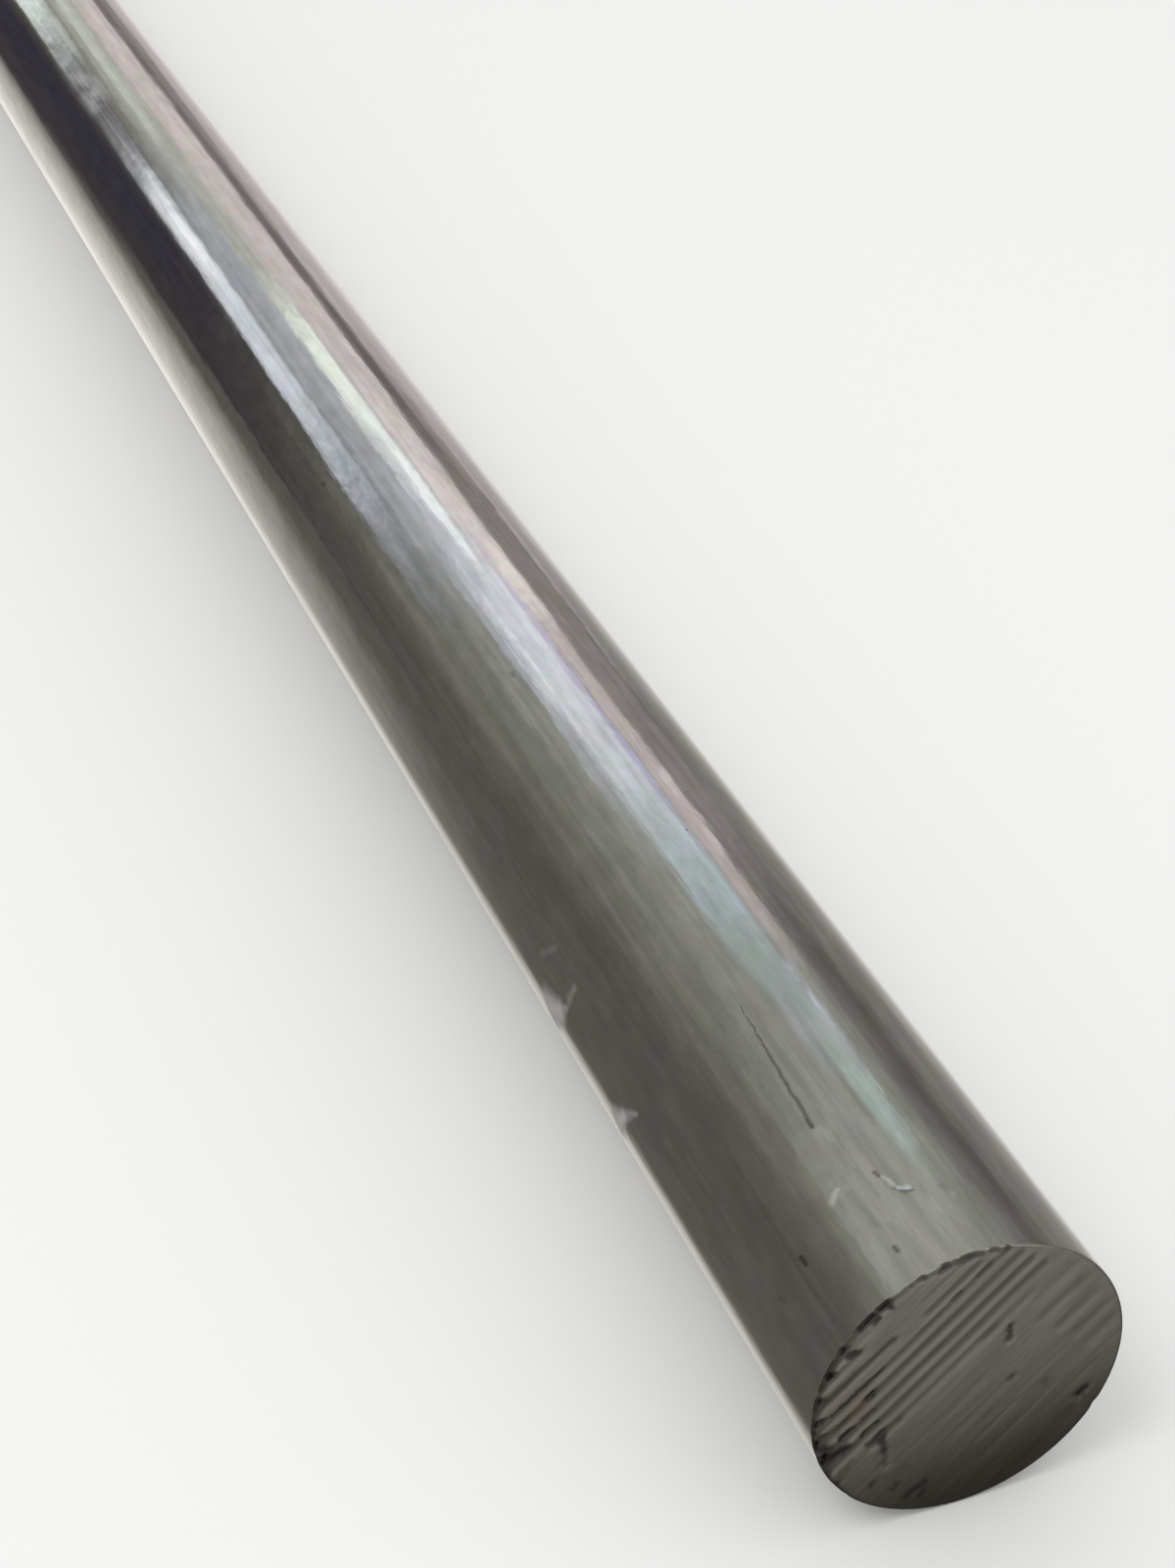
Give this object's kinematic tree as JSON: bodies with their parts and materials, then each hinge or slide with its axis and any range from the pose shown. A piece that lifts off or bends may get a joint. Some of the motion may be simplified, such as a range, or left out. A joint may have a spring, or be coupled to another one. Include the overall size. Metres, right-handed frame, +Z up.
{
  "type": "round metal bar",
  "caption": "Round solid bar of bright drawn steel, sawn square at both ends, for turning, shafts, pins and frames.",
  "frame": {"origin": "on the surface the bar lies on, under the middle of its length", "axes": "+Y along the bar, from the near sawn face to the far one; +Z up, out of the surface it lies on; +X across"},
  "size_m": [0.02, 0.5, 0.02],
  "materials": {
    "bright_steel": "bright drawn and lightly oiled, with fine lines along the bar; sawn ends are duller and scored"
  },
  "bodies": {
    "root": {"round_bar": "bright_steel"}
  },
  "joints": []
}
